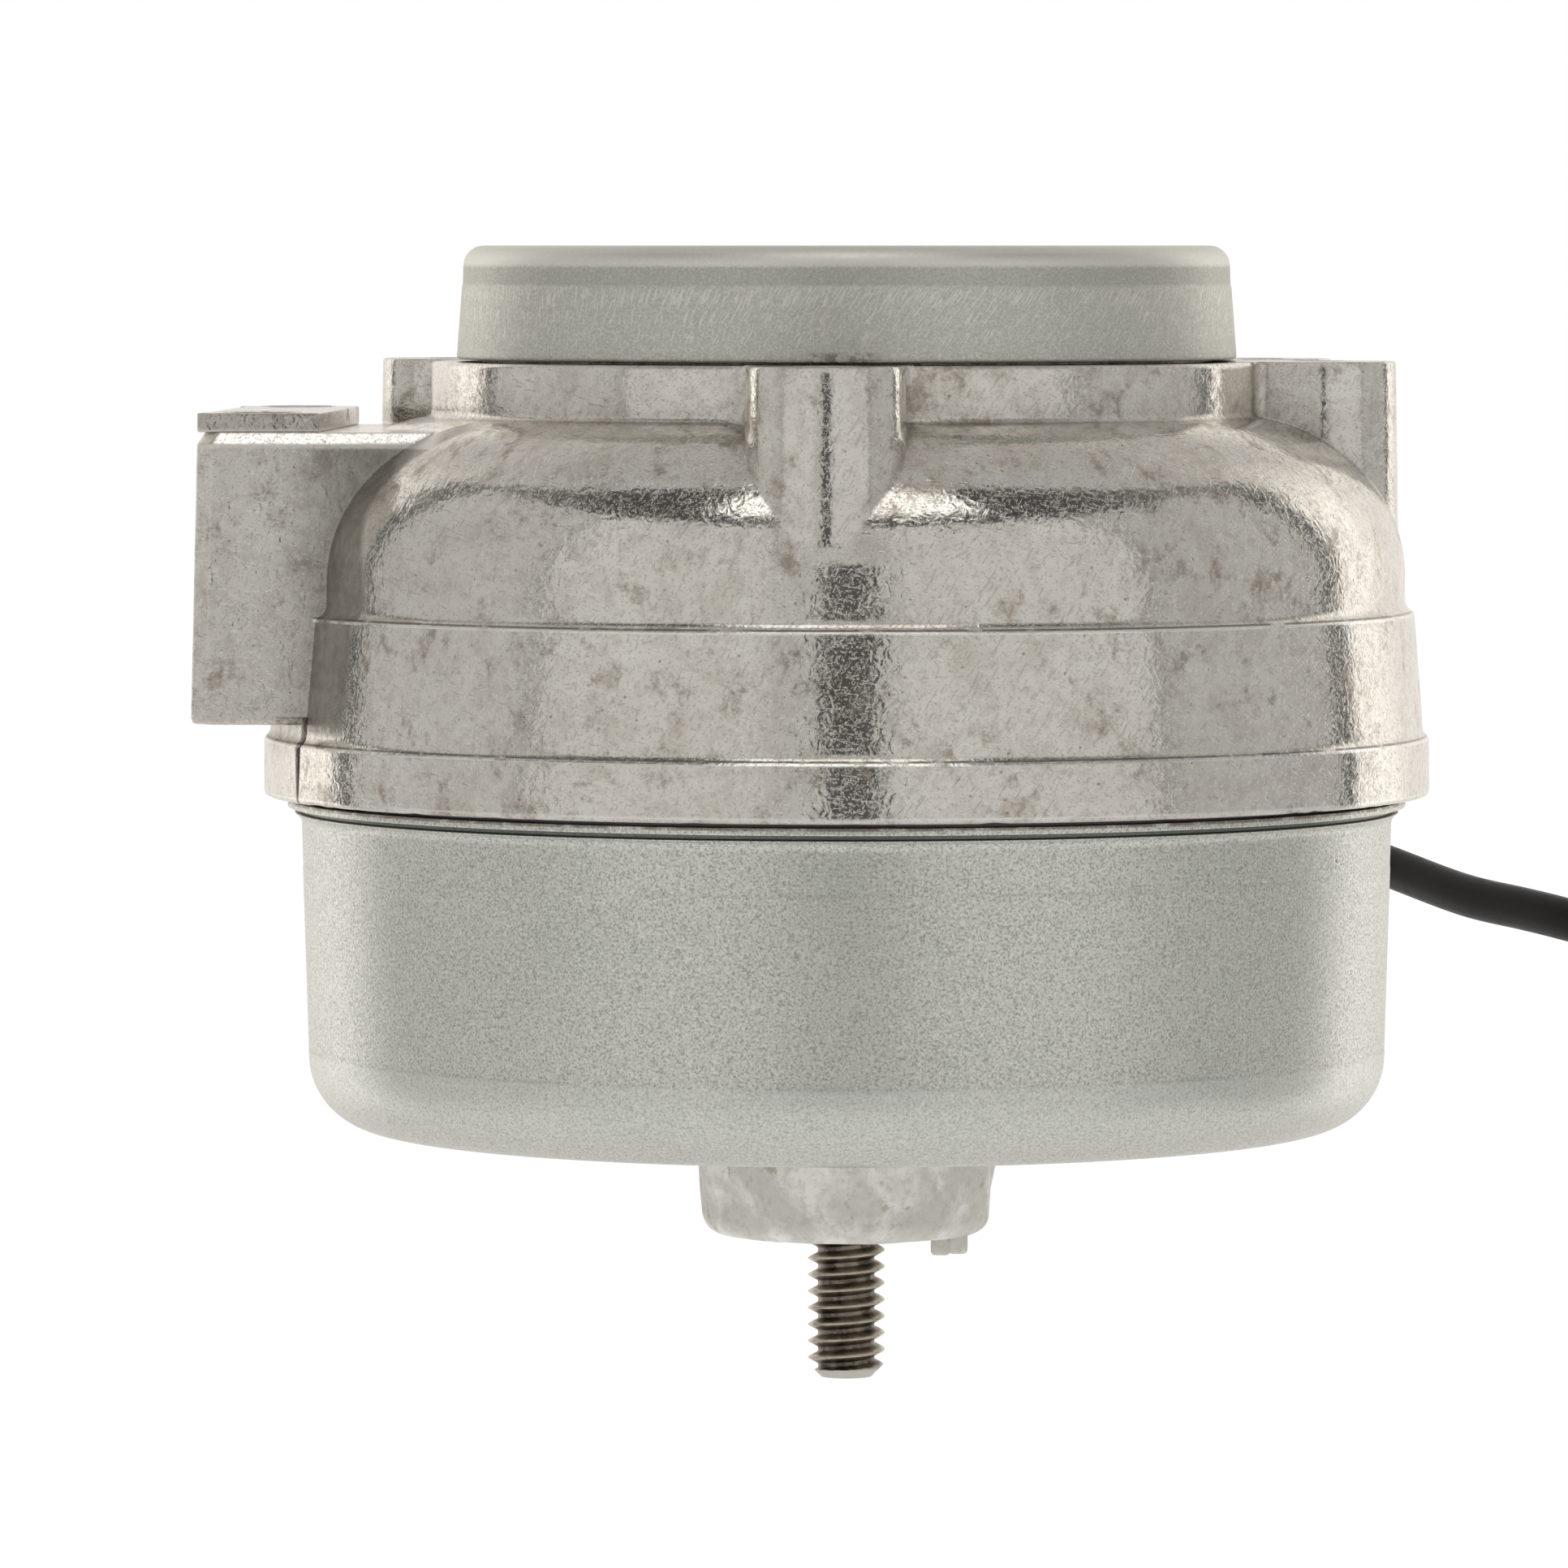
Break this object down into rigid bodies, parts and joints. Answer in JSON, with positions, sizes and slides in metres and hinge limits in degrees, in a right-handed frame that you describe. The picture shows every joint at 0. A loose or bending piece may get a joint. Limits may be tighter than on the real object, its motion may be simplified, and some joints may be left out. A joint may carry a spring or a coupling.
{
  "type": "unit-bearing fan motor",
  "caption": "Shaded-pole unit-bearing fan motor with a die-cast housing, steel rear cap and front can, side junction block, rotating hub with a threaded stud, and a black lead.",
  "frame": {"origin": "on the motor's axis, in the plane of the mounting bosses' tops, where a bracket holds it", "axes": "+Z along the axis towards the rear cap, -Z along the threaded stud, -Y the front, -X the side with the junction block"},
  "size_m": [0.1489, 0.0859, 0.072],
  "materials": {
    "cast_aluminium": "as die cast, lightly stained and scratched",
    "zinc_plated_steel": "satin zinc plating over drawn sheet",
    "hub_casting": "matt die cast",
    "stud_steel": "dark rolled thread",
    "ground_steel": "ground",
    "lamination_steel": "stamped laminations",
    "copper": "bare copper",
    "enamelled_wire": "enamelled winding wire",
    "sintered_bronze": "oil-soaked sintered bronze",
    "brass": "stamped brass",
    "nylon": "natural nylon",
    "black_tie": "black nylon",
    "oil_felt": "oiled wool felt",
    "rubber": "moulded rubber",
    "black_jacket": "satin black lead jacket"
  },
  "bodies": {
    "housing": {"cast_housing": "cast_aluminium", "rear_cap": "zinc_plated_steel", "front_can": "zinc_plated_steel", "terminal_cover": "cast_aluminium", "cover_screw_1": "ground_steel", "cover_screw_2": "ground_steel", "bearing_sleeve": "sintered_bronze", "oil_felt": "oil_felt", "cap_seal": "rubber", "stator_core": "lamination_steel", "terminal_block": "nylon", "terminal_tab_1": "brass", "terminal_tab_2": "brass", "thermal_protector": "ground_steel", "internal_lead": "black_jacket", "lead_grommet": "rubber", "power_lead": "black_jacket", "lead_coil": "black_jacket", "lead_tail": "black_jacket", "lead_tie": "black_tie", "connector_body": "nylon", "connector_contact_1": "brass", "connector_contact_2": "brass", "coil_bobbin_1": "nylon", "stator_coil_1": "enamelled_wire", "shading_ring_1": "copper", "coil_bobbin_2": "nylon", "stator_coil_2": "enamelled_wire", "shading_ring_2": "copper", "coil_bobbin_3": "nylon", "stator_coil_3": "enamelled_wire", "shading_ring_3": "copper", "coil_bobbin_4": "nylon", "stator_coil_4": "enamelled_wire", "shading_ring_4": "copper"},
    "rotor": {"fan_hub": "hub_casting", "threaded_stud": "stud_steel", "rotor_shaft": "ground_steel", "rotor_core": "lamination_steel", "rotor_end_ring_rear": "hub_casting", "rotor_end_ring_front": "hub_casting", "retaining_clip": "ground_steel", "thrust_washer_rear": "nylon", "thrust_washer_front": "nylon"}
  },
  "joints": [
    {"name": "rotor_spin", "type": "hinge", "parent": "housing", "child": "rotor", "pos_m": [0, 0, 0], "axis": [0, 0, 1], "continuous": true}
  ]
}
